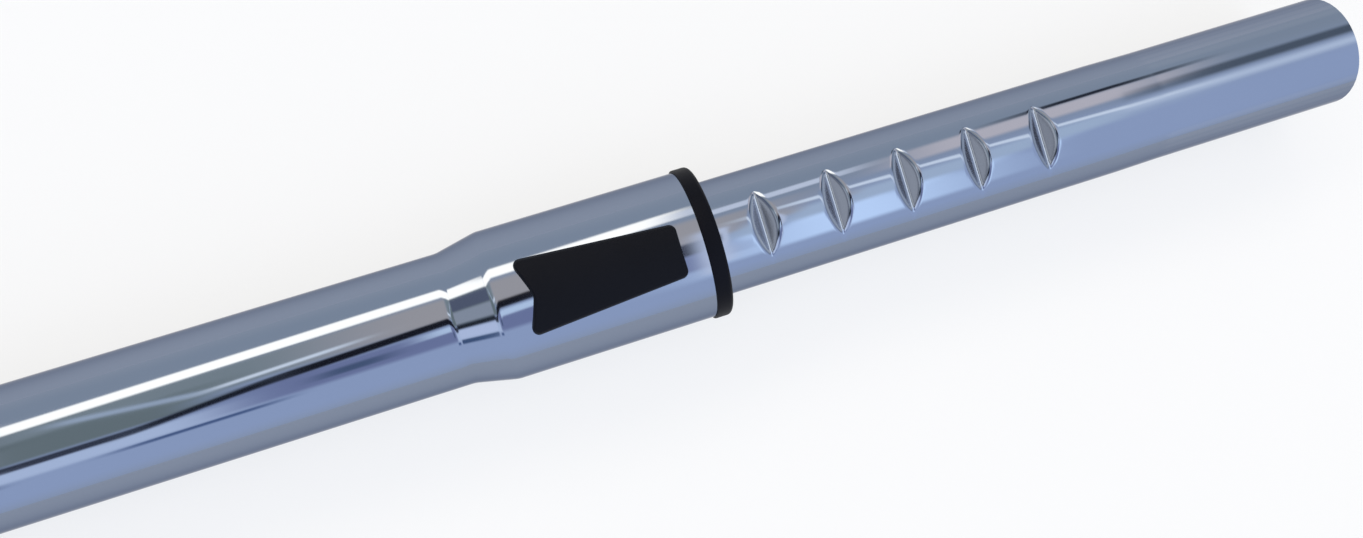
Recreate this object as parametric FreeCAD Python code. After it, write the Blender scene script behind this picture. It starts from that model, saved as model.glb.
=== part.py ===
import FreeCAD, Part
import math
import os

from FreeCAD import Vector

# Telescopic vacuum wand, lying along X with the button on top, in millimetres.
# The origin is the centre of the hose socket's mouth, and +X runs to the tool end.

# Inner tube
inner_diameter = 32.0
inner_wall = 0.7
spigot_step = 0.2
spigot_length = 60.0
spigot_taper = 14.0

# Detent notches pressed across the inner tube
notch_count = 19
notch_pitch = 20.4
notch_depth = 2.5
notch_angle = 100.0
notch_root_radius = 0.8
notch_to_tool_end = 98.3
notches_drawn_out = 6

# Outer tube
outer_length = 516.0
outer_wall = 0.8
flare_length = 13.2
flare_bend_radius = 9.0
socket_bore_diameter = 35.1
socket_depth = 45.0
socket_taper = 4.0

# Guide sleeve
sleeve_wall = 3.4
sleeve_band = 6.0
sleeve_recess = 1.2
sleeve_rear_length = 15.0
sleeve_front_wall = 3.8
sleeve_nose_length = 8.0
sleeve_rib_count = 12
sleeve_rib_width = 1.6
sleeve_rail_width = 1.8

# End collar and the seal that it holds
collar_length = 4.6
collar_overhang = 0.6
collar_spigot = 6.4
collar_spigot_wall = 2.3
collar_front_round = 1.3
collar_round_flats = 3

# Lock roller
roller_diameter = 3.0
roller_length = 13.0
roller_chamfer = 0.3

# Slide under the button
button_travel = 5.0
slide_width = 9.6
slide_front = 7.5
slide_rear = 16.0
wing_width = 14.0
wing_front_length = 3.6
wing_rear_length = 6.8
boss_length = 6.0
boss_width = 5.0
boss_depth = 2.2
boss_offset = 1.0

# Button cap on the outside of the mouth
cap_thickness = 1.9
cap_rear_width = 20.4
cap_front_width = 14.6
cap_tail_depth = 3.1
cap_cover = 1.7
cap_stop_gap = 0.6
cap_tip_radius = 1.9
cap_tail_radius = 2.5
cap_corner_radius = 2.3
cap_draft = 0.9

# Return spring
spring_diameter = 2.6
spring_wire = 0.4
spring_turns = 4
spring_pocket = 3.3
spring_peg_length = 1.4

# Tail bush
bush_wall = 0.95
bush_length = 18.0
bush_to_notch = 48.0
lug_diameter = 4.8
lug_from_tail = 9.0

# Clearances
run_clearance = 0.2
seat_clearance = 0.1
stop_clearance = 0.3
notch_clearance = 0.12
cap_clearance = 0.25
bush_fit = 0.05
collar_clearance = 0.4

# Radii that follow from the inner tube outwards
inner_radius = inner_diameter / 2
bore_radius = inner_radius + bush_fit + bush_wall + run_clearance
outer_radius = bore_radius + outer_wall
sleeve_bore_radius = inner_radius + run_clearance
sleeve_radius = sleeve_bore_radius + sleeve_wall
mouth_bore_radius = sleeve_radius + seat_clearance
mouth_radius = mouth_bore_radius + outer_wall
socket_radius = socket_bore_diameter / 2 + outer_wall
cap_under_radius = mouth_radius + cap_clearance
cap_radius = cap_under_radius + cap_thickness

# Places along the wand, worked out from the mouth backwards
sleeve_front_x = outer_length - collar_spigot - seat_clearance
bay_front_x = sleeve_front_x - sleeve_front_wall
slide_front_x = bay_front_x - stop_clearance - button_travel
roller_x = slide_front_x - slide_front
slide_rear_x = roller_x - slide_rear
bay_rear_x = slide_rear_x - stop_clearance
flare_end_x = bay_rear_x - sleeve_rear_length
flare_start_x = flare_end_x - flare_length
tool_end_x = roller_x + notches_drawn_out * notch_pitch + notch_to_tool_end
notch_places = [tool_end_x - notch_to_tool_end - i * notch_pitch for i in range(notch_count)]
bush_front_x = notch_places[-1] - bush_to_notch
tail_x = bush_front_x - bush_length

# Heights of the lock over the wand axis
notch_half_angle = math.radians(notch_angle / 2)
notch_root_z = inner_radius - notch_depth
notch_apex_z = notch_root_z + notch_root_radius - notch_root_radius / math.sin(notch_half_angle)
roller_radius = roller_diameter / 2
roller_z = notch_apex_z + (roller_radius + notch_clearance) / math.sin(notch_half_angle)
roller_lift = inner_radius + run_clearance + roller_radius - roller_z
slide_floor_z = inner_radius + stop_clearance
slide_neck_radius = cap_under_radius - bush_fit
wing_radius = mouth_bore_radius - run_clearance
spring_z = (slide_floor_z + wing_radius) / 2

past = 1.0
near = 1e-4
axis_x = Vector(1, 0, 0)
axis_y = Vector(0, 1, 0)
axis_z = Vector(0, 0, 1)
origin = Vector(0, 0, 0)


def flare_bend(start, end):
    """Two arcs of one radius and the straight cone between them, as a drawn tube is opened out."""
    run = end.x - start.x
    rise = end.z - start.z
    both_radii = 2 * flare_bend_radius
    lean = math.atan2(both_radii - rise, run)
    slope = math.asin(both_radii / math.hypot(run, both_radii - rise)) - lean
    half_turn = Vector(math.sin(slope / 2), 0, 1 - math.cos(slope / 2)) * flare_bend_radius
    full_turn = Vector(math.sin(slope), 0, 1 - math.cos(slope)) * flare_bend_radius
    return [
        Part.Arc(start, start + half_turn, start + full_turn).toShape(),
        Part.makeLine(start + full_turn, end - full_turn),
        Part.Arc(end - full_turn, end - half_turn, end).toShape(),
    ]


def turned(edges):
    """Solid of revolution about the wand axis, with its seam underneath."""
    return Part.Face(Part.Wire(edges)).revolve(origin, axis_x, 360).rotated(origin, axis_x, 180)


def turned_ring(points):
    """Ring whose section is a polygon of (x, radius) corners."""
    corners = [Vector(x, 0, r) for x, r in points]
    return turned(Part.makePolygon(corners + corners[:1]).Edges)


def drawn_bar(stations, inset, flare_at=None):
    """Round bar through (x, radius) stations, joined by straight tapers and at one of them by the flare."""
    points = [Vector(x, 0, r - inset) for x, r in stations]
    foot = Vector(points[0].x, 0, 0)
    head = Vector(points[-1].x, 0, 0)
    edges = [Part.makeLine(foot, points[0])]
    for i, (start, end) in enumerate(zip(points, points[1:])):
        edges += flare_bend(start, end) if i == flare_at else [Part.makeLine(start, end)]
    edges += [Part.makeLine(points[-1], head), Part.makeLine(head, foot)]
    return turned(edges)


def block(x0, x1, width, z0, z1):
    """Box centred on the wand's middle plane."""
    return Part.makeBox(x1 - x0, width, z1 - z0, Vector(x0, -width / 2, z0))


def bar(radius, x0, x1):
    """Plain cylinder on the wand axis, with its seam underneath."""
    return Part.makeCylinder(radius, x1 - x0, Vector(x0, 0, 0), axis_x).rotated(origin, axis_x, 180)


def upright_edges(solid, x):
    """Edges along Z at one place along the wand."""
    straight = [e for e in solid.Edges if isinstance(e.Curve, Part.Line)]
    upright = [e for e in straight if abs(abs(e.Curve.Direction.z) - 1) < near]
    return [e for e in upright if abs(e.Vertexes[0].X - x) < near]


def notch_form(x, drop):
    """Transverse V with a rounded root, moved straight down by drop to make the far side of the sheet."""
    centre_z = notch_root_z + notch_root_radius
    top_z = inner_radius + past
    touch_x = notch_root_radius * math.cos(notch_half_angle)
    touch_z = centre_z - notch_root_radius * math.sin(notch_half_angle)
    reach = touch_x + (top_z - touch_z) * math.tan(notch_half_angle)
    y = -inner_radius
    left = Vector(x - touch_x, y, touch_z)
    right = Vector(x + touch_x, y, touch_z)
    left_top = Vector(x - reach, y, top_z)
    right_top = Vector(x + reach, y, top_z)
    root = Part.Arc(left, Vector(x, y, notch_root_z), right).toShape()
    flanks = [Part.makeLine(left_top, left), root, Part.makeLine(right, right_top)]
    section = Part.Wire(flanks + [Part.makeLine(right_top, left_top)])
    return Part.Face(section).extrude(axis_y * inner_diameter).translated(axis_z * -drop)


def make_inner_tube():
    """Drawn tube with a reduced tool end, pressed detent notches and two lug holes at its tail."""
    spigot_radius = inner_radius - spigot_step
    spigot_x = tool_end_x - spigot_length
    stations = [
        (tail_x, inner_radius),
        (spigot_x - spigot_taper, inner_radius),
        (spigot_x, spigot_radius),
        (tool_end_x, spigot_radius),
    ]
    skin = drawn_bar(stations, 0.0).cut([notch_form(x, 0.0) for x in notch_places])
    hollow = drawn_bar(stations, inner_wall).cut([notch_form(x, inner_wall) for x in notch_places])
    hole_radius = lug_diameter / 2 + seat_clearance
    hole_foot = Vector(tail_x + lug_from_tail, -inner_diameter, 0)
    lug_holes = Part.makeCylinder(hole_radius, 2 * inner_diameter, hole_foot, axis_y)
    return skin.cut([hollow, lug_holes])


def make_outer_tube():
    """Drawn tube with a hose socket, a flared mouth and the lock's window."""
    stations = [
        (0.0, socket_radius),
        (socket_depth, socket_radius),
        (socket_depth + socket_taper, outer_radius),
        (flare_start_x, outer_radius),
        (flare_end_x, mouth_radius),
        (outer_length, mouth_radius),
    ]
    flare_at = stations.index((flare_start_x, outer_radius))
    skin = drawn_bar(stations, 0.0, flare_at)
    hollow = drawn_bar(stations, outer_wall, flare_at)
    neck_way = block(bay_rear_x, bay_front_x, slide_width + 2 * run_clearance, inner_radius, cap_radius)
    roller_half = roller_radius + run_clearance
    roller_way = block(
        roller_x - roller_half,
        roller_x + roller_half,
        roller_length + 2 * stop_clearance,
        inner_radius,
        cap_radius,
    )
    return skin.cut([hollow, neck_way, roller_way])


def make_guide_sleeve():
    """Moulded sleeve: two bands, ribs between them, a nose in the flare and the bay for the lock."""
    nose_x = flare_end_x - sleeve_nose_length
    nose_rise = (mouth_bore_radius - bore_radius) / flare_length
    nose_radius = sleeve_radius - sleeve_nose_length * nose_rise - stop_clearance
    recess_radius = sleeve_radius - sleeve_recess
    rear_band_x = flare_end_x + sleeve_band
    front_band_x = bay_front_x
    sleeve = turned_ring([
        (nose_x, sleeve_bore_radius),
        (nose_x, nose_radius),
        (flare_end_x, sleeve_radius),
        (rear_band_x, sleeve_radius),
        (rear_band_x, recess_radius),
        (front_band_x, recess_radius),
        (front_band_x, sleeve_radius),
        (sleeve_front_x, sleeve_radius),
        (sleeve_front_x, sleeve_bore_radius),
    ])
    rib = block(rear_band_x, front_band_x, sleeve_rib_width, recess_radius - past, sleeve_radius + past)
    ribs = []
    for i in range(sleeve_rib_count):
        ribs.append(rib.rotated(origin, axis_x, 360.0 * i / sleeve_rib_count))
    top_z = sleeve_radius + past
    neck_width = slide_width + 2 * run_clearance
    bay_width = wing_width + 2 * run_clearance
    rails = block(rear_band_x, front_band_x, bay_width + 2 * sleeve_rail_width, 0.0, top_z)
    recess = bar(recess_radius - bush_fit, rear_band_x, front_band_x)
    layer = bar(sleeve_radius, rear_band_x, front_band_x).cut(recess)
    sleeve = sleeve.fuse(ribs[0].fuse(ribs[1:] + [rails]).common(layer))
    rear_wing_end = slide_rear_x + wing_rear_length + button_travel + run_clearance
    front_wing_start = slide_front_x - wing_front_length - run_clearance
    slot_half = roller_radius + notch_clearance
    slot_width = roller_length + 2 * run_clearance
    cuts = [
        block(bay_rear_x, bay_front_x, neck_width, 0.0, top_z),
        block(bay_rear_x, rear_wing_end, bay_width, 0.0, top_z),
        block(front_wing_start, bay_front_x, bay_width, 0.0, top_z),
        block(roller_x - slot_half, roller_x + slot_half, slot_width, 0.0, top_z),
    ]
    peg_radius = spring_diameter / 2 - spring_wire - run_clearance
    peg_foot = Vector(bay_front_x - spring_peg_length, 0, spring_z)
    peg = Part.makeCylinder(peg_radius, spring_peg_length + past, peg_foot, axis_x)
    return sleeve.cut(cuts).fuse(peg).removeSplitter()


def make_end_collar():
    """Moulded ring: a flange against the tube's mouth and a spigot inside it that holds the seal."""
    front_x = outer_length + collar_length
    rear_x = outer_length - collar_spigot
    flange_radius = mouth_radius + collar_overhang
    lip_radius = inner_radius + collar_clearance
    spigot_inside = sleeve_radius - collar_spigot_wall
    front_edge = []
    for i in range(collar_round_flats + 1):
        turn = math.pi / 2 * i / collar_round_flats
        x = front_x - collar_front_round * (1 - math.sin(turn))
        front_edge.append((x, flange_radius - collar_front_round * (1 - math.cos(turn))))
    return turned_ring([
        (rear_x, spigot_inside),
        (rear_x, sleeve_radius),
        (outer_length, sleeve_radius),
        (outer_length, flange_radius),
        *front_edge,
        (front_x, lip_radius),
        (outer_length, lip_radius),
        (outer_length, spigot_inside),
    ])


def make_seal_ring():
    """Soft wiper ring, trapped between the collar and the guide sleeve."""
    front_x = outer_length - bush_fit
    rear_x = outer_length - collar_spigot
    outside = sleeve_radius - collar_spigot_wall - bush_fit
    inside = inner_radius + seat_clearance
    return turned_ring([(rear_x, outside), (front_x, outside), (front_x, inside), (rear_x, inside)])


def make_lock_roller():
    """Hardened roller across the wand, with chamfered ends, at rest in a notch."""
    foot = Vector(roller_x, -roller_length / 2, roller_z)
    roller = Part.makeCylinder(roller_radius, roller_length, foot, axis_y)
    ends = [e for e in roller.Edges if isinstance(e.Curve, Part.Circle)]
    return roller.makeChamfer(roller_chamfer, ends)


def make_button_slide():
    """Slide under the window: a neck through the tube, wings under its wall and the cam over the roller."""
    neck = block(slide_rear_x, slide_front_x, slide_width, slide_floor_z, cap_radius)
    neck = neck.common(bar(slide_neck_radius, slide_rear_x, slide_front_x))
    rear_wing = block(slide_rear_x, slide_rear_x + wing_rear_length, wing_width, slide_floor_z, cap_radius)
    front_start_x = slide_front_x - wing_front_length
    front_wing = block(front_start_x, slide_front_x, wing_width, slide_floor_z, cap_radius)
    wings = rear_wing.fuse(front_wing).common(bar(wing_radius, slide_rear_x, slide_front_x))
    pocket_radius = spring_diameter / 2 + run_clearance
    pocket_foot = Vector(slide_front_x - spring_pocket, 0, spring_z)
    pocket = Part.makeCylinder(pocket_radius, spring_pocket + past, pocket_foot, axis_x)
    return neck.fuse(wings).cut([cam_form(), pocket, boss_form(seat_clearance)]).removeSplitter()


def cam_form():
    """Space under the slide: a ceiling parallel to the roller's path, open towards the inner tube."""
    room = roller_radius + notch_clearance
    path = Vector(-button_travel, 0, roller_lift)
    tilt = math.atan2(button_travel, roller_lift)
    seated = Vector(roller_x, -slide_width, roller_z)
    freed = seated + path
    low_z = inner_radius - notch_depth

    def on_round(centre, angle):
        return centre + Vector(room * math.cos(angle), 0, room * math.sin(angle))

    front = on_round(seated, 0)
    front_crest = on_round(seated, tilt)
    rear_crest = on_round(freed, tilt)
    rear = on_round(freed, math.pi)
    front_foot = Vector(front.x, front.y, low_z)
    rear_foot = Vector(rear.x, rear.y, low_z)
    outline = [
        Part.makeLine(front_foot, front),
        Part.Arc(front, on_round(seated, tilt / 2), front_crest).toShape(),
        Part.makeLine(front_crest, rear_crest),
        Part.Arc(rear_crest, on_round(freed, (tilt + math.pi) / 2), rear).toShape(),
        Part.makeLine(rear, rear_foot),
        Part.makeLine(rear_foot, front_foot),
    ]
    return Part.Face(Part.Wire(outline)).extrude(axis_y * 2 * slide_width)


def boss_form(room):
    """Block under the cap that plugs into the slide, or with room added, the pocket for it."""
    boss_x = slide_rear_x + (wing_rear_length - boss_length) / 2 + boss_offset
    return block(
        boss_x - room,
        boss_x + boss_length + room,
        boss_width + 2 * room,
        cap_under_radius - boss_depth - room,
        cap_under_radius + cap_thickness / 2,
    )


def make_release_button():
    """Moulded cap curved like the tube, tapering forwards, with a swallow-tail rear edge."""
    front_x = outer_length - button_travel - cap_stop_gap
    tail_x_middle = bay_rear_x - button_travel - cap_cover
    tips_x = tail_x_middle - cap_tail_depth
    rear_y = cap_rear_width / 2
    front_y = cap_front_width / 2
    outline = [
        Vector(tips_x, -rear_y, 0),
        Vector(front_x, -front_y, 0),
        Vector(front_x, front_y, 0),
        Vector(tips_x, rear_y, 0),
        Vector(tail_x_middle, 0, 0),
    ]
    plan = Part.Face(Part.makePolygon(outline + outline[:1]))
    prism = plan.extrude(axis_z * cap_radius)
    prism = prism.makeFillet(cap_tip_radius, upright_edges(prism, tips_x))
    prism = prism.makeFillet(cap_tail_radius, upright_edges(prism, tail_x_middle))
    prism = prism.makeFillet(cap_corner_radius, upright_edges(prism, front_x))
    foot = min(prism.Faces, key=lambda f: f.CenterOfMass.z).OuterWire
    foot_z = math.sqrt(cap_under_radius ** 2 - rear_y ** 2)
    crown = foot.makeOffset2D(-cap_draft)
    foot.translate(axis_z * foot_z)
    crown.translate(axis_z * cap_radius)
    drafted = Part.makeLoft([foot, crown], True, True)
    shell = bar(cap_radius, tips_x, front_x).cut(bar(cap_under_radius, tips_x, front_x))
    return drafted.common(shell).fuse(boss_form(0.0)).removeSplitter()


def make_return_spring():
    """Compression spring of square wire between the slide's pocket and the sleeve's front wall."""
    half_wire = spring_wire / 2
    start_x = slide_front_x - spring_pocket + bush_fit + half_wire
    end_x = bay_front_x - bush_fit - half_wire
    coil_radius = spring_diameter / 2 - half_wire
    helix = Part.makeHelix((end_x - start_x) / spring_turns, end_x - start_x, coil_radius)
    corners = []
    for along, out in ((-1, 0), (0, -1), (1, 0), (0, 1)):
        corners.append(Vector(coil_radius + out * half_wire, 0, along * half_wire))
    wire_end = Part.makePolygon(corners + corners[:1])
    coil = Part.Wire(helix.Edges).makePipeShell([wire_end], True, True)
    return coil.rotated(origin, axis_y, 90).translated(Vector(start_x, 0, spring_z))


def make_tail_bush():
    """Moulded ring on the tail of the inner tube, held by two lugs, that runs in the outer tube."""
    fit_radius = inner_radius + bush_fit
    run_radius = fit_radius + bush_wall
    ring = bar(run_radius, tail_x, bush_front_x).cut(bar(fit_radius, tail_x, bush_front_x))
    lug_foot = Vector(tail_x + lug_from_tail, -run_radius, 0)
    lugs = Part.makeCylinder(lug_diameter / 2, 2 * run_radius, lug_foot, axis_y)
    lugs = lugs.common(bar(run_radius - bush_wall / 2, tail_x, bush_front_x))
    lugs = lugs.cut(bar(inner_radius - inner_wall, tail_x, bush_front_x))
    return ring.fuse(lugs)


os.makedirs("parts", exist_ok=True)
make_outer_tube().exportStep("parts/outer_tube.step")
make_inner_tube().exportStep("parts/inner_tube.step")
make_tail_bush().exportStep("parts/tail_bush.step")
make_guide_sleeve().exportStep("parts/guide_sleeve.step")
make_seal_ring().exportStep("parts/seal_ring.step")
make_end_collar().exportStep("parts/end_collar.step")
make_lock_roller().exportStep("parts/lock_roller.step")
make_return_spring().exportStep("parts/return_spring.step")
make_button_slide().exportStep("parts/button_slide.step")
make_release_button().exportStep("parts/release_button.step")
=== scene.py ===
import math

import bmesh
import bpy
import numpy as np
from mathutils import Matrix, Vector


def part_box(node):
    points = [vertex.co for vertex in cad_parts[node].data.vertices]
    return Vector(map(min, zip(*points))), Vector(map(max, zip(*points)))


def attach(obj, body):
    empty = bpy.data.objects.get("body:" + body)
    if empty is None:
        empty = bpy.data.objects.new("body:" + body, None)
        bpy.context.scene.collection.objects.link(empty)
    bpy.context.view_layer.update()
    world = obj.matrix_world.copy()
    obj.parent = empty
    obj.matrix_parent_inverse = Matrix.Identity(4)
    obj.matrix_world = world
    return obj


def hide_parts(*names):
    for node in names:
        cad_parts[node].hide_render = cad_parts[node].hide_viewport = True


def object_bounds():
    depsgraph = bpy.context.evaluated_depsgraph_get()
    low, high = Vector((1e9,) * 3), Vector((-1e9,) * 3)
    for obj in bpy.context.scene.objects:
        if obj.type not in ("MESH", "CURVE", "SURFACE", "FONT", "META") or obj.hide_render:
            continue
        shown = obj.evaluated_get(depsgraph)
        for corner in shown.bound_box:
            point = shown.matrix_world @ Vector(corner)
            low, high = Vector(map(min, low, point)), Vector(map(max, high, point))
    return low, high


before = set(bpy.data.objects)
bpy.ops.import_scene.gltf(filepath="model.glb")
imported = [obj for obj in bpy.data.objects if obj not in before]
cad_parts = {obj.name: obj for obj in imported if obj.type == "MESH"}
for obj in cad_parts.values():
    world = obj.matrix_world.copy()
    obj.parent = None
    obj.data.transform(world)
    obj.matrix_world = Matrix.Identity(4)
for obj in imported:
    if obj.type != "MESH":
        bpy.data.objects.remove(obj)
cad_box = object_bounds()

# Inner tube
# A drawn steel tube, polished and chromed, with a row of V notches pressed across its top for the roller.
# It slides in the outer tube, and its plain, slightly reduced end takes the floor head.
mm = 0.001
inner_radius = 16.0
inner_wall = 0.7
tail_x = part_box("inner_tube")[0].x / mm
tool_end_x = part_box("inner_tube")[1].x / mm
spigot_radius = 15.8
spigot_length = 60.0
spigot_start_x = tool_end_x - spigot_length
spigot_taper = 14.0
spigot_taper_rings = 8
notch_pitch = 20.4
notch_count = 19
first_notch_from_end = 98.3
first_notch_x = tool_end_x - first_notch_from_end
notch_depth = 2.5
notch_root_z = inner_radius - notch_depth
notch_root_radius = 0.9
notch_flank = math.radians(50.0)
notch_shoulder = 0.7
notch_half_angle, notch_angle_step, plain_angle_step = 34.5, 1.5, 8.0
real_edge = math.radians(38.0)


def soft_min(a, b, width):
    """The lower of two heights, with the corner between them rounded off over a width."""
    share = np.clip(0.5 + 0.5 * (b - a) / width, 0.0, 1.0)
    return b + (a - b) * share - width * share * (1.0 - share)


def inner_skin(x, angle, depth):
    """Breadth and height of the notched sheet at a depth under its outside."""
    taper = np.clip((x - spigot_start_x + spigot_taper) / spigot_taper, 0.0, 1.0)
    radius = inner_radius + (spigot_radius - inner_radius) * taper - depth
    count = np.clip(np.round((first_notch_x - x) / notch_pitch), 0, notch_count - 1)
    off = np.abs(x - first_notch_x + count * notch_pitch)
    touch = notch_root_radius * math.cos(notch_flank)
    bottom = notch_root_radius - np.sqrt(notch_root_radius ** 2 - np.minimum(off, touch) ** 2)
    flank = np.maximum(off - touch, 0.0) / math.tan(notch_flank)
    pressed = notch_root_z + bottom + flank - depth
    y = radius * np.sin(angle)
    z = radius * np.cos(angle)
    return y, np.where(z > 0, soft_min(z, pressed, notch_shoulder), z)


def stand_in(name, points, faces):
    """Object from points in millimetres, smooth but for its real edges."""
    mesh = bpy.data.meshes.new(name)
    mesh.from_pydata((np.asarray(points) * mm).tolist(), [], faces)
    mesh.validate()
    mesh.shade_smooth()
    mesh.set_sharp_from_angle(angle=real_edge)
    made = bpy.data.objects.new(name, mesh)
    bpy.context.scene.collection.objects.link(made)
    return made


def sheet_tube(name, stations, angles, skin, wall, open_at=None):
    """Tube of sheet metal, from stations along X and angles around, walled in wherever the sheet ends."""
    rows = len(stations)
    columns = len(angles)
    x, angle = np.meshgrid(stations, angles, indexing="ij")
    skins = []
    for depth in (0.0, wall):
        y, z = skin(x, angle, depth)
        skins.append(np.stack([x, y, z], axis=-1).reshape(-1, 3))
    kept = np.ones((rows - 1, columns), bool)
    if open_at is not None:
        middle_x = (stations[:-1] + stations[1:]) / 2
        middle_angle = (angles + np.append(angles[1:], angles[0] + math.tau)) / 2
        kept &= ~open_at(middle_x[:, None], middle_angle[None, :])
    inside = rows * columns
    faces = []
    for i, j in np.argwhere(kept).tolist():
        k = (j + 1) % columns
        a, b = i * columns + j, (i + 1) * columns + j
        c, d = (i + 1) * columns + k, i * columns + k
        faces.append((a, b, c, d))
        faces.append((d + inside, c + inside, b + inside, a + inside))
        rims = (
            (i == 0 or not kept[i - 1, j], a, d),
            (i == rows - 2 or not kept[i + 1, j], c, b),
            (not kept[i, j - 1], b, a),
            (not kept[i, k], d, c),
        )
        faces += [(p, q, q + inside, p + inside) for is_rim, p, q in rims if is_rim]
    return stand_in(name, np.concatenate(skins), faces)


def angles_around(half_fine, fine, coarse, edges=()):
    """Angles around a tube, close together over its top, where the pressed forms are."""
    top = np.arange(-half_fine, half_fine + fine / 2, fine)
    rest = np.linspace(half_fine, 360 - half_fine, int((360 - 2 * half_fine) / coarse))[1:-1]
    return np.radians(np.unique(np.round(np.concatenate([top, rest, edges]), 3)))


# From the middle of a notch outwards, close together at its root and again at its shoulder
notch_steps = np.array([0, 0.17, 0.34, 0.52, 0.8, 1.2, 1.7, 2.2, 2.55, 2.8, 3.05, 3.3, 3.7, 4.4])
notch_places = first_notch_x - notch_pitch * np.arange(notch_count)
inner_stations = np.unique(np.round(np.concatenate([
    [tail_x, tool_end_x],
    np.linspace(spigot_start_x - spigot_taper, spigot_start_x, spigot_taper_rings),
    (notch_places[:, None] + notch_steps).ravel(),
    (notch_places[:, None] - notch_steps).ravel(),
]), 4))
inner_angles = angles_around(notch_half_angle, notch_angle_step, plain_angle_step)
inner_tube = sheet_tube("inner_tube_chromed", inner_stations, inner_angles, inner_skin, inner_wall)


class Socket:
    """One output of a shader node: sums on it add Math nodes, and node() adds a node of any other kind."""

    def __init__(self, tree, end=None):
        self.tree = tree
        self.end = end

    def node(self, kind, settings=None, sockets=None, output=0):
        made = self.tree.nodes.new("ShaderNode" + kind)
        for name, value in (settings or {}).items():
            setattr(made, name, value)
        for name, value in (sockets or {}).items():
            if isinstance(value, Socket):
                self.tree.links.new(value.end, made.inputs[name])
            else:
                made.inputs[name].default_value = value
        return Socket(self.tree, made.outputs[output] if made.outputs else None)

    def maths(self, operation, first, second=0.0):
        return self.node("Math", {"operation": operation}, {0: first, 1: second})

    def __add__(self, other):
        return self.maths("ADD", self, other)

    def __radd__(self, other):
        return self.maths("ADD", other, self)

    def __sub__(self, other):
        return self.maths("SUBTRACT", self, other)

    def __rsub__(self, other):
        return self.maths("SUBTRACT", other, self)

    def __mul__(self, other):
        return self.maths("MULTIPLY", self, other)

    def __rmul__(self, other):
        return self.maths("MULTIPLY", other, self)

    def __truediv__(self, other):
        return self.maths("DIVIDE", self, other)

    def __rtruediv__(self, other):
        return self.maths("DIVIDE", other, self)

    def scaled_place(self, scale):
        """Place on a piece, multiplied axis by axis."""
        place = self.node("TexCoord", output="Object")
        return self.node("VectorMath", {"operation": "MULTIPLY"}, {0: place, 1: scale})

    def grain(self, scale, detail=2.0, stretch=(1, 1, 1)):
        """Noise from 0 to 1 over a piece, drawn out along an axis by a small number of stretch."""
        spread = self.scaled_place(stretch)
        return self.node("TexNoise", None, {"Vector": spread, "Scale": scale, "Detail": detail})

    def tint(self, share, first, second):
        """Colour a share of the way from the first colour to the second."""
        first, second = [end if isinstance(end, Socket) else (*end, 1) for end in (first, second)]
        return self.node("Mix", {"data_type": "RGBA"}, {0: share, 6: first, 7: second}, output=2)

    def relief(self, height, depth, strength):
        """Bump whose full height is a depth in metres."""
        return self.node("Bump", None, {"Height": height, "Distance": depth, "Strength": strength})


def finish(name, look):
    """Node material, from a function that gives the shader's socket values."""
    material = bpy.data.materials.new(name)
    material.use_nodes = True
    material.node_tree.nodes.clear()
    start = Socket(material.node_tree)
    shader = start.node("BsdfPrincipled", None, look(start))
    start.node("OutputMaterial", None, {"Surface": shader})
    return material


# Down in the notches and inside the inner tube, which the buffing wheel doesn't reach, the chrome is
# rougher, and its colour is lighter: painted light that lifts the dark notches
unbuffed_painted_light_radius, unbuffed_painted_light_blend = 15.4, 0.4
painted_notch_light_colour = (0.40, 0.43, 0.50)


def bright_chrome(start):
    draw_lines = start.grain(scale=700.0, detail=3.0, stretch=(0.02, 1, 1))
    smears = start.grain(scale=45.0, detail=4.0, stretch=(0.4, 1, 1))
    waviness = start.grain(scale=38.0, detail=1.0, stretch=(0.3, 1, 1))
    buffed = start.tint(smears, (0.218, 0.258, 0.342), (0.232, 0.272, 0.358))
    across = start.scaled_place((0, 1, 1))
    from_axis = start.node("VectorMath", {"operation": "LENGTH"}, {0: across}, output="Value")
    unbuffed_and_painted_light = start.node("MapRange", None, {
        "Value": from_axis,
        "From Min": (unbuffed_painted_light_radius + unbuffed_painted_light_blend) * mm,
        "From Max": unbuffed_painted_light_radius * mm,
    })
    return {
        # Lighter colour down in the notches and inside the tube: painted light, over the rougher unbuffed
        # chrome
        "Base Color": start.tint(unbuffed_and_painted_light, buffed, painted_notch_light_colour),
        "Metallic": 1.0,
        "Specular Tint": (0.50, 0.52, 0.58, 1),
        "Roughness": 0.045 + 0.03 * smears + 0.015 * draw_lines + 0.12 * unbuffed_and_painted_light,
        "Normal": start.relief(waviness, depth=0.0001, strength=0.3),
    }


chrome = finish("bright_chrome", bright_chrome)
inner_tube.data.materials.append(chrome)
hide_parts("inner_tube")
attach(inner_tube, "inner")

# Tail bush
# A moulded ring of natural acetal on the inner end of the inner tube, which keeps it central in the outer
# tube. Its two lugs snap into holes in the tube's wall.


def natural_acetal(start):
    cloud = start.grain(scale=110.0, detail=3.0)
    moulded = start.grain(scale=2600.0)
    return {
        "Base Color": start.tint(cloud, (0.68, 0.67, 0.62), (0.75, 0.74, 0.70)),
        "Roughness": 0.34 + 0.16 * cloud,
        "Normal": start.relief(moulded, depth=0.00002, strength=0.4),
    }


acetal = finish("natural_acetal", natural_acetal)


def dress(node, material):
    """Gives a kept solid its finish."""
    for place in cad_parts[node].material_slots:
        place.material = material


dress("tail_bush", acetal)

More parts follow.
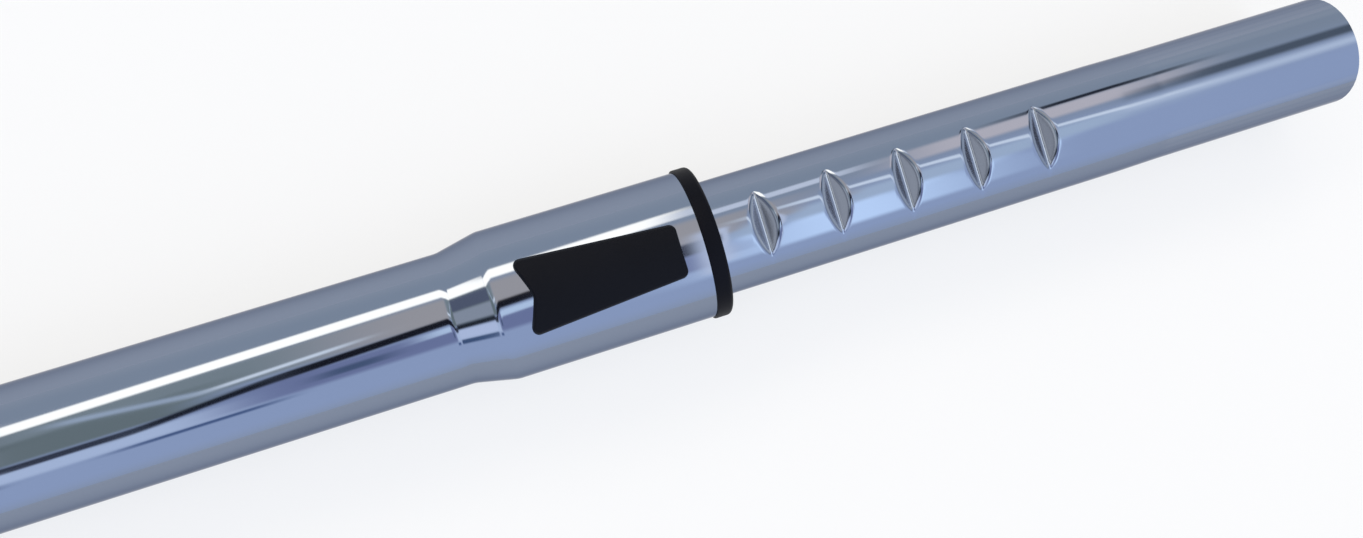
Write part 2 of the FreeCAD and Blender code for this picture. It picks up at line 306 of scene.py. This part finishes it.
# Outer tube
# A drawn steel tube, chromed like the inner one, its mouth widened over a short cone for the guide sleeve.
# The window for the button is pierced in the widened part, and the other end takes the hose's handle.
outer_radius = 18.0
outer_wall = 0.8
socket_radius = 18.35
socket_length = 45.0
socket_taper = 4.0
socket_taper_rings = 6
mouth_radius = 20.5
mouth_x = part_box("outer_tube")[1].x / mm
straight_from_x, straight_gap, straight_rings = 60.0, 2.0, 40
flare_start_x = 448.4
flare_length = 13.2
flare_rise = 2.5
flare_bend = 9.0
flare_margin, flare_ring_step = 1.5, 0.25
widened_from_x, widened_to_x, widened_rings = 464.0, 512.0, 13
window_from_x, window_to_x = 476.6, 505.7
window_half_width = 5.0
roller_way_x, roller_way_half_length, roller_way_half_width = 492.9, 1.7, 6.8
window_half_angle, window_angle_step, back_angle_step = 32.0, 1.0, 4.5


def outer_profile(x):
    """Outside radius along the tube: hose socket, straight run, then a cone between two equal bends."""
    radius = np.interp(x, [socket_length, socket_length + socket_taper], [socket_radius, outer_radius])
    spread = 2 * flare_bend - flare_rise
    slope = math.asin(2 * flare_bend / math.hypot(flare_length, spread)) - math.atan2(spread, flare_length)
    bend_run = flare_bend * math.sin(slope)
    along = np.clip(x - flare_start_x, 0.0, flare_length)
    from_end = np.minimum(along, flare_length - along)
    bent = flare_bend - np.sqrt(flare_bend ** 2 - np.minimum(from_end, bend_run) ** 2)
    rise = bent + np.maximum(from_end - bend_run, 0.0) * math.tan(slope)
    return radius + np.where(along < flare_length / 2, rise, flare_rise - rise)


def outer_skin(x, angle, depth):
    """Breadth and height of the flared sheet at a depth under its outside."""
    radius = outer_profile(x) - depth
    return radius * np.sin(angle), radius * np.cos(angle)


def window(x, angle):
    """True where the button's window is pierced."""
    y = mouth_radius * np.sin(angle)
    over = np.cos(angle) > 0
    long_way = (x > window_from_x) & (x < window_to_x) & (np.abs(y) < window_half_width)
    roller_way = (np.abs(x - roller_way_x) < roller_way_half_length) & (np.abs(y) < roller_way_half_width)
    return over & (long_way | roller_way)


outer_stations = np.unique(np.round(np.concatenate([
    [0.0, mouth_x, window_from_x, window_to_x],
    [roller_way_x - roller_way_half_length, roller_way_x + roller_way_half_length],
    np.linspace(socket_length, socket_length + socket_taper, socket_taper_rings),
    np.linspace(straight_from_x, flare_start_x - straight_gap, straight_rings),
    np.arange(flare_start_x - flare_margin, flare_start_x + flare_length + flare_margin, flare_ring_step),
    np.linspace(widened_from_x, widened_to_x, widened_rings),
]), 3))
window_edges = [
    math.degrees(math.asin(side * half_width / mouth_radius))
    for half_width in (window_half_width, roller_way_half_width) for side in (-1, 1)
]
outer_angles = angles_around(window_half_angle, window_angle_step, back_angle_step, window_edges)
outer_tube = sheet_tube("outer_tube_chromed", outer_stations, outer_angles, outer_skin, outer_wall, window)
outer_tube.data.materials.append(chrome)
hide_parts("outer_tube")
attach(outer_tube, "outer")

# Guide sleeve
# A ribbed sleeve moulded in natural acetal, pushed into the widened mouth up to the flare.
# The inner tube runs in it, its bay holds the slide, the roller and the spring, and the slide in the tube's
# window keeps it from turning.
dress("guide_sleeve", acetal)

# Seal ring
# A ring moulded in soft black rubber that wipes the inner tube.
# It lies loose in the widened mouth, held between the sleeve and the collar.


def soft_rubber(start):
    bloom = start.grain(scale=160.0, detail=3.0)
    skin = start.grain(scale=3200.0)
    return {
        "Base Color": start.tint(bloom, (0.022, 0.022, 0.024), (0.040, 0.040, 0.041)),
        "Roughness": 0.62 + 0.2 * bloom,
        "Normal": start.relief(skin, depth=0.00003, strength=0.5),
    }


dress("seal_ring", finish("soft_rubber", soft_rubber))

# End collar
# A black ring moulded in one with its spigot, which is pressed into the tube's mouth against the sheet's
# end. Its front edge is rounded, and its lip stands just clear of the inner tube.
collar_radius = 21.1
collar_front_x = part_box("end_collar")[1].x / mm
collar_front_round, front_round_points = 1.3, 9
collar_back_round = 0.25
lip_bore_radius = 16.4
lip_round = 0.35
collar_spigot_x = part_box("end_collar")[0].x / mm
collar_spigot_radius = 19.6
collar_bore_radius = 17.3
collar_points_around = 128


def corner(x, radius, along, out, size, count=6):
    """Points of a rounded corner, from one side of it to the other."""
    turn = np.linspace(0, math.pi / 2, count)
    return [(x + along * size * (1 - math.sin(a)), radius + out * size * (1 - math.cos(a))) for a in turn]


def turned(name, outline, count):
    """Solid of revolution about X, from a closed outline of places along X and radii."""
    outline = np.array(outline)
    turn = np.linspace(0, math.tau, count, endpoint=False)
    x = np.repeat(outline[:, 0], count)
    y = np.outer(outline[:, 1], np.sin(turn)).ravel()
    z = np.outer(outline[:, 1], np.cos(turn)).ravel()
    faces = []
    for i in range(len(outline)):
        n = (i + 1) % len(outline)
        for j in range(count):
            k = (j + 1) % count
            faces.append((i * count + j, n * count + j, n * count + k, i * count + k))
    return stand_in(name, np.stack([x, y, z], axis=-1), faces)


collar_outline = [
    (collar_spigot_x, collar_bore_radius),
    (collar_spigot_x, collar_spigot_radius),
    (mouth_x, collar_spigot_radius),
    *corner(mouth_x, collar_radius, 1, -1, collar_back_round)[::-1],
    *corner(collar_front_x, collar_radius, -1, -1, collar_front_round, front_round_points),
    *corner(collar_front_x, lip_bore_radius, -1, 1, lip_round)[::-1],
    (mouth_x, lip_bore_radius),
    (mouth_x, collar_bore_radius),
]
end_collar = turned("end_collar_moulded", collar_outline, collar_points_around)


def black_moulding(start):
    cloud = start.grain(scale=80.0, detail=3.0)
    spark = start.grain(scale=2400.0)
    return {
        "Base Color": start.tint(cloud, (0.0026, 0.0031, 0.0060), (0.0044, 0.0050, 0.0092)),
        "Roughness": 0.42 + 0.14 * cloud,
        "Specular IOR Level": 0.06,
        "Normal": start.relief(spark, depth=0.00003, strength=0.45),
    }


end_collar.data.materials.append(finish("black_moulding", black_moulding))
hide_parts("end_collar")
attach(end_collar, "outer")

# Lock roller
# A hardened and ground steel pin that lies across the tubes, loose in the slot of the slide.
# The slide holds it down in a notch of the inner tube, or lets it rise out of it.


def ground_steel(start):
    grinding = start.grain(scale=1500.0, detail=3.0, stretch=(1, 0.03, 1))
    return {
        "Base Color": start.tint(grinding, (0.50, 0.50, 0.49), (0.60, 0.60, 0.58)),
        "Metallic": 1.0,
        "Roughness": 0.2 + 0.12 * grinding,
        "Normal": start.relief(grinding, depth=0.000004, strength=0.5),
    }


steel = finish("ground_steel", ground_steel)
dress("lock_roller", steel)

# Return spring
# A small coil wound from spring steel wire, which pushes the button and its slide back.
# It lies in the sleeve's bay, between the slide and the front wall of the bay.
dress("return_spring", steel)

# Button slide
# A block moulded in natural acetal that runs in the sleeve's bay under the window.
# Its slanted slot holds the roller down, or lets it rise when the button is pushed.
dress("button_slide", acetal)

# Release button
# A black moulded cap with a swallow-tail rear edge, clipped by its boss into the slide through the window.
# It follows the tube's curve and is pushed towards the tool end.
cap_under_radius = 20.75
cap_top_radius = 22.65
cap_tip_x = 466.8
cap_tip_half_width = 10.2
cap_tip_round = 1.9
cap_tail_x = 469.9
cap_tail_round = 2.5
cap_front_x = 510.4
cap_front_half_width = 7.3
cap_front_round = 2.3
cap_foot_z = 18.07
cap_draft = 0.9
cap_edge, cap_edge_rings = 0.45, 6
cap_point_spacing, cap_corner_points = 1.0, 10
cap_wall_passes = 4
spine_from_tail, spine_from_front = 3.0, 4.0
under_shares = (1.0, 0.6, 0.25)
top_shares = (0.12, 0.3, 0.5, 0.7, 0.86, 1.0)
weld_reach = 0.001
boss_x, boss_half_length, boss_half_width = 481.3, 3.0, 2.5
boss_depth, boss_overlap = 2.2, 0.3
square = ((-1, -1), (1, -1), (1, 1), (-1, 1))


def rounded_outline(corners, spacing, corner_points):
    """Closed outline with each corner (x, y, radius) rounded, and the points' inward directions."""
    points, inward = [], []

    def straight_to(end):
        count = max(2, int(np.linalg.norm(end - points[-1]) / spacing))
        run = np.linspace(points[-1], end, count)[1:-1]
        points.extend(run)
        inward.extend([inward[-1]] * len(run))

    for index, (x, y, radius) in enumerate(corners):
        here = np.array([x, y])
        to_last = np.array(corners[index - 1][:2]) - here
        to_next = np.array(corners[(index + 1) % len(corners)][:2]) - here
        to_last, to_next = to_last / np.linalg.norm(to_last), to_next / np.linalg.norm(to_next)
        half = math.acos(np.clip(to_last @ to_next, -1, 1)) / 2
        halfway = (to_last + to_next) / np.linalg.norm(to_last + to_next)
        middle = here + halfway * radius / math.sin(half)
        first = here + to_last * radius / math.tan(half)
        last = here + to_next * radius / math.tan(half)
        bulges = to_last[0] * to_next[1] - to_last[1] * to_next[0] < 0
        if points:
            straight_to(first)
        start_angle = math.atan2(*(first - middle)[::-1])
        sweep = (math.atan2(*(last - middle)[::-1]) - start_angle + math.pi) % math.tau - math.pi
        for angle in start_angle + sweep * np.linspace(0, 1, corner_points):
            out = np.array([math.cos(angle), math.sin(angle)])
            points.append(middle + radius * out)
            inward.append(-out if bulges else out)
    straight_to(points[0])
    return np.array(points), np.array(inward)


cap_corners = [
    (cap_tip_x, -cap_tip_half_width, cap_tip_round),
    (cap_front_x, -cap_front_half_width, cap_front_round),
    (cap_front_x, cap_front_half_width, cap_front_round),
    (cap_tip_x, cap_tip_half_width, cap_tip_round),
    (cap_tail_x, 0.0, cap_tail_round),
]
cap_foot, cap_inward = rounded_outline(cap_corners, cap_point_spacing, cap_corner_points)


def on_round(spot, radius):
    """Spots seen from above, laid on a round surface of a radius."""
    return np.column_stack([spot, np.sqrt(radius ** 2 - spot[:, 1] ** 2)])


def cap_wall(radius):
    """The cap's drafted side wall where it meets a round surface of a radius."""
    spot = cap_foot
    for _ in range(cap_wall_passes):
        height = np.sqrt(radius ** 2 - spot[:, 1] ** 2)
        inset = cap_draft * (height - cap_foot_z) / (cap_top_radius - cap_foot_z)
        spot = cap_foot + cap_inward * inset[:, None]
    return on_round(spot, radius)


def cap_inner_ring(ring, share, radius):
    """A ring part of the way from the cap's edge to its middle line, laid on a round surface."""
    spine = np.clip(ring[:, 0], cap_tail_x + spine_from_tail, cap_front_x - spine_from_front)
    spot = np.column_stack([ring[:, 0] + (spine - ring[:, 0]) * share, ring[:, 1] * (1 - share)])
    return on_round(spot, radius)


bottom_ring = cap_wall(cap_under_radius)
edge_low = cap_wall(cap_top_radius - cap_edge)
edge_corner = cap_wall(cap_top_radius)
edge_high = on_round(edge_corner[:, :2] + cap_inward * cap_edge, cap_top_radius)
cap_rings = [cap_inner_ring(bottom_ring, share, cap_under_radius) for share in under_shares]
cap_rings += [bottom_ring, (bottom_ring + edge_low) / 2]
for share in np.linspace(0, 1, cap_edge_rings):
    left = 1 - share
    cap_rings.append(edge_low * left ** 2 + edge_corner * 2 * share * left + edge_high * share ** 2)
cap_rings += [cap_inner_ring(edge_high, share, cap_top_radius) for share in top_shares]
ring_length = len(cap_foot)
cap_faces = []
for ring in range(len(cap_rings) - 1):
    low, high = ring * ring_length, (ring + 1) * ring_length
    for j in range(ring_length):
        k = (j + 1) % ring_length
        cap_faces.append((low + j, low + k, high + k, high + j))
boss_corners = [
    (boss_x + i * boss_half_length, j * boss_half_width, cap_under_radius + k)
    for k in (-boss_depth, boss_overlap) for i, j in square
]
first_boss = len(cap_rings) * ring_length
boss_sides = ((3, 2, 1, 0), (0, 1, 5, 4), (1, 2, 6, 5), (2, 3, 7, 6), (3, 0, 4, 7), (4, 5, 6, 7))
cap_faces += [tuple(first_boss + v for v in side) for side in boss_sides]
cap_points = np.concatenate(cap_rings + [boss_corners])
release_button = stand_in("release_button_moulded", cap_points, cap_faces)
weld = bmesh.new()
weld.from_mesh(release_button.data)
bmesh.ops.remove_doubles(weld, verts=weld.verts, dist=weld_reach * mm)
weld.to_mesh(release_button.data)
weld.free()


def grained_black(start):
    cloud = start.grain(scale=70.0, detail=3.0)
    leather = start.grain(scale=1700.0, detail=3.0)
    return {
        "Base Color": start.tint(cloud, (0.0030, 0.0036, 0.0066), (0.0052, 0.0060, 0.0100)),
        "Roughness": 0.5 + 0.12 * cloud,
        "Specular IOR Level": 0.08,
        "Normal": start.relief(leather, depth=0.00004, strength=0.5),
    }


release_button.data.materials.append(finish("grained_black", grained_black))
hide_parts("release_button")
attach(release_button, "button")

# Floor
# A plain white table top that the wand lies on, matt and much larger than the picture.
# It shows white, in the chrome too, and still takes the wand's soft shadow.
floor_z = cad_box[0].z
floor_reach = 12.0
floor_glow = 0.7
floor_corners = [(i * floor_reach, j * floor_reach, floor_z) for i, j in square]
floor_mesh = bpy.data.meshes.new("floor")
floor_mesh.from_pydata(floor_corners, [], [(0, 1, 2, 3)])
floor = bpy.data.objects.new("floor", floor_mesh)
bpy.context.scene.collection.objects.link(floor)
floor_white = bpy.data.materials.new("floor_white")
floor_white.use_nodes = True
floor_white.node_tree.nodes.clear()
table = Socket(floor_white.node_tree)
seen = table.node("LightPath", output="Is Camera Ray")
for ray in ("Is Glossy Ray", "Is Transmission Ray"):
    seen = table.maths("MAXIMUM", seen, table.node("LightPath", output=ray))
mottle = table.grain(scale=3.0)
matt_white = table.tint(mottle, (0.84, 0.84, 0.84), (0.86, 0.86, 0.86))
lit = table.node("BsdfDiffuse", None, {"Color": matt_white})
shown = table.node("Emission", None, {"Color": (1, 1, 1, 1), "Strength": 1.0})
surface = table.node("MixShader", None, {0: floor_glow * seen, 1: lit, 2: shown})
table.node("OutputMaterial", None, {"Surface": surface})
floor_mesh.materials.append(floor_white)

# Room
# Soft light from the room: pale walls along the wand, a grey ceiling and a long white lamp over it.
# The chrome shows them as bands, so each is placed by its angle about the wand and its reach along it.
wall_near, wall_far = (1.03, 1.15, 1.42), (0.80, 0.86, 0.90)
wall_change, wall_change_soft = 20, 40
lamp = (4.50, 3.90, 3.00)
room_end = 50.0
flare_view = (-0.9, -0.445)
least_square = 1e-6
world = bpy.data.worlds.new("room")
bpy.context.scene.world = world
world.use_nodes = True
world.node_tree.nodes.clear()
room = Socket(world.node_tree)
view = room.node("TexCoord", output="Generated")
view_x, view_y, view_z = [room.node("SeparateXYZ", None, {0: view}, output=axis) for axis in "XYZ"]
angle_about = room.maths("ARCTAN2", view_y, view_z) * math.degrees(1)
reach_along = view_x / room.maths("SQRT", view_y * view_y + view_z * view_z + least_square)


def soft_step(value, edge, soft):
    """0 under an edge and 1 over it with a soft change between, or the reverse for a negative softness."""
    sockets = {"Value": value, "From Min": edge - soft, "From Max": edge + soft}
    return room.node("MapRange", {"interpolation_type": "SMOOTHSTEP"}, sockets)


def panel(behind, colour, middle, lean, half_width, reach, soft, soft_end):
    """Lays a soft-edged panel of one brightness over what is behind it in the room."""
    off_middle = room.maths("ABSOLUTE", angle_about - (middle + lean * reach_along))
    across = soft_step(off_middle, half_width, -soft)
    along = soft_step(reach_along, reach[0], soft_end) * soft_step(reach_along, reach[1], -soft_end)
    return room.tint(across * along, behind, colour)


# Each row is a panel: its colour, the angle of its middle and how that changes with the reach, its half
# width, its reach, and how soft its sides and its ends are
panels = (
    # Paler skirtings of the two long walls
    ((0.98, 1.04, 1.13), -92, 0, 8, (-room_end, room_end), 16, 0.2),
    ((0.95, 0.97, 0.98), 92, 0, 8, (-room_end, room_end), 16, 0.2),
    # End walls, each with a darker frame
    ((0.85, 0.90, 0.95), 0, 0, 75, (1.35, room_end), 15, 0.15),
    ((0.40, 0.43, 0.48), 0, 0, 60, (1.0, 1.3), 15, 0.08),
    ((0.55, 0.58, 0.63), 0, 0, 75, (-room_end, -0.85), 15, 0.2),
    ((0.30, 0.32, 0.36), 0, 0, 60, (-1.3, -0.95), 15, 0.08),
    # Windows over the notches, the tool end and the hose end
    ((2.05, 2.34, 2.62), -31, 0, 23, (0.19, 0.42), 6, 0.12),
    ((1.35, 1.50, 1.62), -2, 0, 10, (0.19, 0.62), 6, 0.12),
    ((1.68, 1.76, 1.84), 5, 0, 7, (0.60, 1.05), 7, 0.08),
    ((1.55, 1.66, 1.86), -31, 0, 9, (-0.8, -0.24), 4, 0.04),
    # Blue shade beside the button, with two dark strips in it
    ((0.57, 0.61, 0.90), -24, 0, 14, (-0.25, 0.18), 4, 0.06),
    ((0.22, 0.33, 0.60), -43, 0, 2.5, (-0.34, -0.21), 2, 0.03),
    ((0.22, 0.30, 0.46), -25, 0, 5, (-0.175, -0.115), 3, 0.02),
    # Ceiling, grey over the hose end and warmer over the button
    ((0.70, 0.76, 0.70), 20, 0, 18, (-0.70, -0.12), 5, 0.12),
    ((0.50, 0.56, 0.50), 3, 0, 16, (-0.90, -0.26), 4, 0.05),
    ((1.24, 1.07, 0.92), 20, 0, 18, (-0.16, 0.24), 5, 0.08),
    # Two thin lights that meet over the hose end
    ((2.40, 2.36, 2.20), 19, 45, 2.4, (-0.265, -0.14), 2, 0.03),
    ((1.25, 1.35, 1.42), -41.4, -180, 3.5, (-0.385, -0.262), 2.5, 0.02),
    # Dark beam from the hose end to the button, with a light beside it
    ((0.12, 0.13, 0.17), -19, 0, 4.5, (-0.46, -0.32), 2, 0.03),
    ((0.03, 0.035, 0.05), 18, 115, 4.5, (-0.335, -0.20), 2, 0.03),
    ((1.75, 1.95, 2.10), -11, 45, 4.5, (-0.085, 0.14), 2, 0.02),
    ((0.03, 0.03, 0.04), 2, 42, 5.5, (-0.23, 0.06), 2, 0.05),
    # Dark and bright patches between the button and the collar
    ((0.05, 0.05, 0.08), -4, 0, 9, (0.06, 0.160), 3, 0.006),
    ((1.90, 1.90, 1.98), -17, 0, 33, (0.160, 0.190), 5, 0.006),
    # Long lamp, with its fainter end
    (lamp, 50, 20, 7, (-0.45, 0.155), 2, 0.03),
    ((2.00, 1.95, 1.90), 51, 0, 5, (0.15, 0.32), 2, 0.03),
    # Warm ceiling over the tool end, between two dark beams, and a thin light along the notches
    ((1.80, 1.52, 1.36), 43, 0, 12, (0.36, 0.66), 5, 0.06),
    ((0.05, 0.06, 0.08), 59, 0, 3.5, (0.47, 0.66), 2, 0.05),
    ((0.27, 0.31, 0.35), 30, 0, 9, (0.64, 1.2), 5, 0.06),
    ((2.30, 2.30, 2.20), 27, -30, 3, (0.22, 0.66), 2, 0.06),
    # What the flare's cone shows of the hose end, with the lamp in it again
    ((0.31, 0.33, 0.41), 23, 0, 11, flare_view, 3, 0.02),
    ((0.92, 0.93, 0.93), 0, 0, 11, flare_view, 3, 0.02),
    ((0.05, 0.06, 0.07), -16, 0, 4.5, flare_view, 3, 0.02),
    ((1.70, 1.75, 1.95), -29, 0, 8, flare_view, 3, 0.02),
    ((0.16, 0.26, 0.46), -43, 0, 4, flare_view, 2, 0.02),
    (lamp, 45, 0, 9, flare_view, 2, 0.02),
)
light = room.tint(soft_step(angle_about, wall_change, wall_change_soft), wall_near, wall_far)
for row in panels:
    light = panel(light, *row)
glow = room.node("Background", None, {"Color": light, "Strength": 1.0})
room.node("OutputWorld", None, {"Surface": glow})

# Camera
# Over the button and a little towards the hose end, looking down on the wand.
# It is turned so that the tool end leans away to the upper right.
camera_data = bpy.data.cameras.new("camera")
camera_data.sensor_fit = "HORIZONTAL"
camera_data.sensor_width = 36.0
camera_data.lens = 30.7255
camera = bpy.data.objects.new("camera", camera_data)
camera.location = (0.4664687, 0.0060127, 0.3148453)
camera.rotation_euler = [math.radians(turn) for turn in (0.42618, -8.33550, -17.20662)]
bpy.context.scene.collection.objects.link(camera)
bpy.context.scene.camera = camera
bpy.context.scene.view_settings.view_transform = "Standard"
